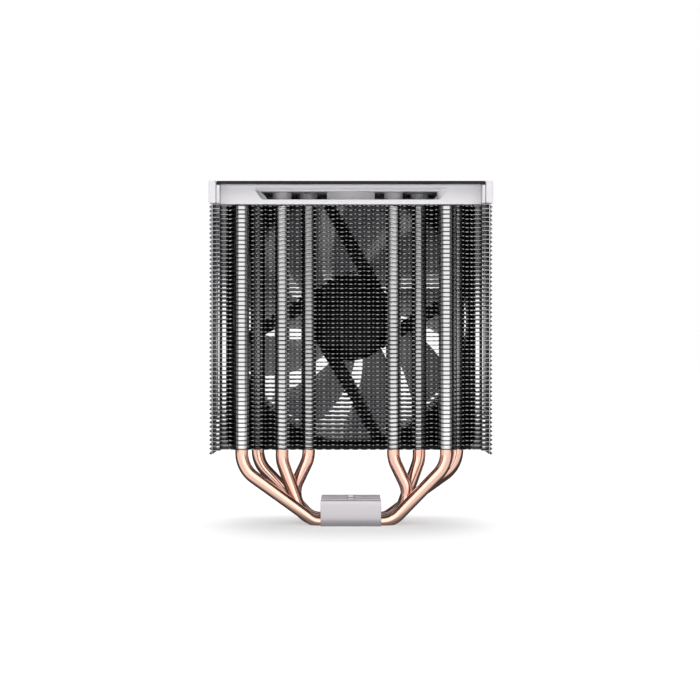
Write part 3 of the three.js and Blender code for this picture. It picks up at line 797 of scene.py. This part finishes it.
blades_mesh = make_mesh("rotor_blades", gather(*[blade(i) for i in range(BLADE_COUNT)]), smooth=50)
blades_mesh.materials.append(FINISHES["smoked_blade"])
add_piece("rotor_blades", blades_mesh, "smoked_blade_plastic", "rotor")
cup = [
    (0, 47.0), (1.8, 47.0), (1.8, 45.3), (3.6, 45.3), (3.6, 47.0), (18.4, 47.0),
    (18.4, 30.2), (19.7, 30.2), (20.0, 30.5), (20.0, 46.9), (19.86, 47.55), (19.5, 48.1),
    (18.95, 48.46), (18.3, 48.6), (15.6, 48.6), (15.3, 48.3), (0, 48.3),
]
cup_shape = lathe(cup, 96, upright)
make("rotor_cup", cup_shape, "smoked_blade_plastic", "rotor", stands_for=["fan_rotor"], smooth=28)

# The motor's turned pieces, each in (radius, y).
magnet = [
    (16, 31.2), (16.2, 31), (17.9, 31), (18.1, 31.2), (18.1, 45.8), (17.9, 46), (16.2, 46), (16, 45.8),
]
spindle = [(0, 28), (1.2, 28), (1.5, 28.3), (1.5, 46.5), (1.3, 46.7), (0, 46.7)]
spindle_clip = [(1.8, 28.05), (2.8, 28.05), (2.9, 28.15), (2.9, 28.4), (2.8, 28.5), (1.8, 28.5)]
sleeve = [
    (1.6, 29.1), (1.9, 28.8), (2.7, 28.8), (3, 29.1), (3, 44.4), (2.7, 44.7), (1.9, 44.7), (1.6, 44.4),
]
board = [(4.8, 28.4), (17.5, 28.4), (17.5, 29.8), (4.8, 29.8)]
for name, profile, slot, body, node in (
    ("magnet_band", magnet, "ferrite", "rotor", "magnet_ring"),
    ("spindle", spindle, "shaft_steel", "rotor", "rotor_shaft"),
    ("spindle_clip", spindle_clip, "clip_plastic", "rotor", "shaft_clip"),
    ("sleeve", sleeve, "bearing_bronze", "tower", "bearing_sleeve"),
    ("driver_board", board, "board_laminate", "tower", "circuit_board"),
):
    make(name, lathe(profile, 64, upright), slot, body, stands_for=[node])


def stator_loops():
    """The stack's outline, four T-shaped poles, and the hole for the sleeve."""
    points = [
        (8, -2.5), (13, -2.5), (13, -6.3), (14.2, -6.3), (14.95, -3.4), (15.4, 0), (14.95, 3.4),
        (14.2, 6.3), (13, 6.3), (13, 2.5), (8, 2.5),
    ]
    turns = [quarter_turns(*p) for p in points]
    return [[turn[quarter] for quarter in range(4) for turn in turns], circle(4.7, 40)]


stack = prism(stator_loops(), 32.0, 42.0, upright)
make("stator_stack", stack, "stator_steel", stands_for=["stator_core"], bevel=0.15)

# Five turns of enamelled wire round each pole. The first pole points along X.
for number in range(1, 5):
    turns = []
    for x in (9.2, 9.9, 10.6, 11.3, 12.0):
        path = rounded_square(1, 0.4, steps=5)
        points = [Vector((x, 37.2 + u * 5.9, v * 4.9)) for u, v in path]
        turns.append(loop_of_wire(points, 0.35, 10))
    verts, faces = gather(*turns)
    for _ in range(1, number):
        verts = [(z, y, -x) for x, y, z in verts]
    verts = [(x, y, z + FAN_Z) for x, y, z in verts]
    stands_for = [f"stator_coil_{number}"]
    make(f"winding_{number}", (verts, faces), "coil_copper", stands_for=stands_for, smooth=60)


# ---- Spring-wire clips ----

# The upper half of the wire, about the fan's axis: from the hook in the hole to the long side.
hook = FAN_HOLE_OFFSET
upper = [(hook, 48.0, hook), (hook, 51.4, hook), (63.2, 51.4, 46.0), (63.2, 6.0, 46.0)]
corners = upper + [(x, y, -z) for x, y, z in reversed(upper)]
for label, side in (("right", 1), ("left", -1)):
    line = route([(side * x, y, z + FAN_Z) for x, y, z in corners], [WIRE_BEND] * (len(corners) - 2), 10)
    wire = tube(line, WIRE_RADIUS, 20, 0.5)
    make(f"wire_{label}", wire, "spring_wire", f"clip_{label}", stands_for=[f"fan_clip_{label}"], smooth=60)


# ---- Studio ----

FLOOR_HALF = 6
FLOOR_COLOUR, FLOOR_GLOW = (0.45, 0.45, 0.45, 1), 0.5
# What polished metal sees of the floor is a painted reflection: bright in front of the cooler, and a painted
# shadow from under it back.
PAINTED_REFLECTION_Y, PAINTED_REFLECTION_FRONT, PAINTED_SHADOW_BEHIND = (-0.034, -0.012), 0.95, 0.06
AMBIENT = 0.03

floor_mesh = bpy.data.meshes.new("floor")
near, far = -FLOOR_HALF, FLOOR_HALF
floor_mesh.from_pydata([(near, near, 0), (far, near, 0), (far, far, 0), (near, far, 0)], [], [(0, 1, 2, 3)])
floor = bpy.data.objects.new("floor", floor_mesh)
bpy.context.scene.collection.objects.link(floor)
floor_material = bpy.data.materials.new("floor")
floor_material.use_nodes = True
nodes, links = floor_material.node_tree.nodes, floor_material.node_tree.links
paper = nodes["Principled BSDF"]
paper.inputs["Base Color"].default_value = FLOOR_COLOUR
paper.inputs["Roughness"].default_value = 0.9
paper.inputs["Specular IOR Level"].default_value = 0.0
paper.inputs["Emission Color"].default_value = (1, 1, 1, 1)
paper.inputs["Emission Strength"].default_value = FLOOR_GLOW
place = nodes.new("ShaderNodeTexCoord")
axes = nodes.new("ShaderNodeSeparateXYZ")
fade = nodes.new("ShaderNodeMapRange")
fade.inputs["From Min"].default_value, fade.inputs["From Max"].default_value = PAINTED_REFLECTION_Y
fade.inputs["To Min"].default_value = PAINTED_REFLECTION_FRONT
fade.inputs["To Max"].default_value = PAINTED_SHADOW_BEHIND
# Glossy rays see this emission instead of the paper: the floor's painted reflection and painted shadow.
painted_reflection = nodes.new("ShaderNodeEmission")
rays = nodes.new("ShaderNodeLightPath")
choose = nodes.new("ShaderNodeMixShader")
links.new(place.outputs["Object"], axes.inputs["Vector"])
links.new(axes.outputs["Y"], fade.inputs["Value"])
links.new(fade.outputs["Result"], painted_reflection.inputs["Strength"])
links.new(rays.outputs["Is Glossy Ray"], choose.inputs["Fac"])
links.new(paper.outputs["BSDF"], choose.inputs[1])
links.new(painted_reflection.outputs["Emission"], choose.inputs[2])
links.new(choose.outputs["Shader"], nodes["Material Output"].inputs["Surface"])
floor_mesh.materials.append(floor_material)

# The backdrop is white to look at, and through the smoky blades, but adds only a little light.
world = bpy.data.worlds.new("studio")
bpy.context.scene.world = world
world.use_nodes = True
nodes, links = world.node_tree.nodes, world.node_tree.links
seen = nodes["Background"]
seen.inputs["Color"].default_value = (1, 1, 1, 1)
dim = nodes.new("ShaderNodeBackground")
dim.inputs["Color"].default_value = (1, 1, 1, 1)
dim.inputs["Strength"].default_value = AMBIENT
rays = nodes.new("ShaderNodeLightPath")
through = nodes.new("ShaderNodeMath")
through.operation = "MAXIMUM"
choose = nodes.new("ShaderNodeMixShader")
links.new(rays.outputs["Is Camera Ray"], through.inputs[0])
links.new(rays.outputs["Is Transmission Ray"], through.inputs[1])
links.new(through.outputs["Value"], choose.inputs["Fac"])
links.new(dim.outputs["Background"], choose.inputs[1])
links.new(seen.outputs["Background"], choose.inputs[2])
links.new(choose.outputs["Shader"], nodes["World Output"].inputs["Surface"])


def softbox(name, at, size, radiance, target=(0, 0, 0.08), glossy=True, diffuse=True):
    """A flat lamp of that many metres across and up, of one brightness all over.

    glossy is whether polished surfaces reflect it, and diffuse whether it lights matt ones.
    """
    light = bpy.data.lights.new(name, "AREA")
    light.shape = "RECTANGLE"
    light.size, light.size_y = size
    light.energy = radiance * math.pi * size[0] * size[1]
    lamp = bpy.data.objects.new(name, light)
    lamp.location = at
    lamp.rotation_mode = "QUATERNION"
    lamp.rotation_quaternion = (Vector(target) - Vector(at)).to_track_quat("-Z", "Y")
    lamp.visible_camera = False
    lamp.visible_glossy = glossy
    lamp.visible_diffuse = diffuse
    bpy.context.scene.collection.objects.link(lamp)


softbox("front", (0, -1.1, 0.7), (2.6, 2.5), 1.6, target=(0, 0, 0.6), diffuse=False)
softbox("front_fill", (0, -1.1, 0.35), (3.6, 1.8), 0.56, glossy=False)
softbox("above_front", (0, -1.2, 0.95), (2.4, 0.8), 1.4, glossy=False)
softbox("right", (1.6, -0.1, 0.3), (1.5, 1.4), 0.5, target=(0, 0, 0.3))
softbox("left", (-1.6, -0.1, 0.3), (1.5, 1.4), 0.5, target=(0, 0, 0.3))
softbox("back", (0, 1.8, 0.9), (2.0, 1.5), 0.6)
softbox("overhead", (0, 0, 1.7), (2.2, 2.0), 0.9, diffuse=False)

# A broad, soft light from above and behind, which only matt surfaces show: it casts the shadow.
sun = bpy.data.lights.new("top", "SUN")
sun.energy = 4.5
sun.angle = math.radians(75)
top = bpy.data.objects.new("top", sun)
top.rotation_euler = (math.radians(-28), 0, 0)
top.visible_glossy = False
bpy.context.scene.collection.objects.link(top)

camera = bpy.data.cameras.new("camera")
camera.lens = 96.2
camera.sensor_width = 36.0
camera.clip_start, camera.clip_end = 0.01, 20
eye = bpy.data.objects.new("camera", camera)
eye.location = (-0.0004, -0.874, 0.0807)
eye.rotation_euler = (math.pi / 2, 0, 0)  # level, looking along +Y
bpy.context.scene.collection.objects.link(eye)
bpy.context.scene.camera = eye

bpy.context.scene.view_settings.view_transform = "Standard"
bpy.context.scene.cycles.max_bounces = 10
bpy.context.scene.cycles.glossy_bounces = 6
bpy.context.scene.cycles.diffuse_bounces = 3
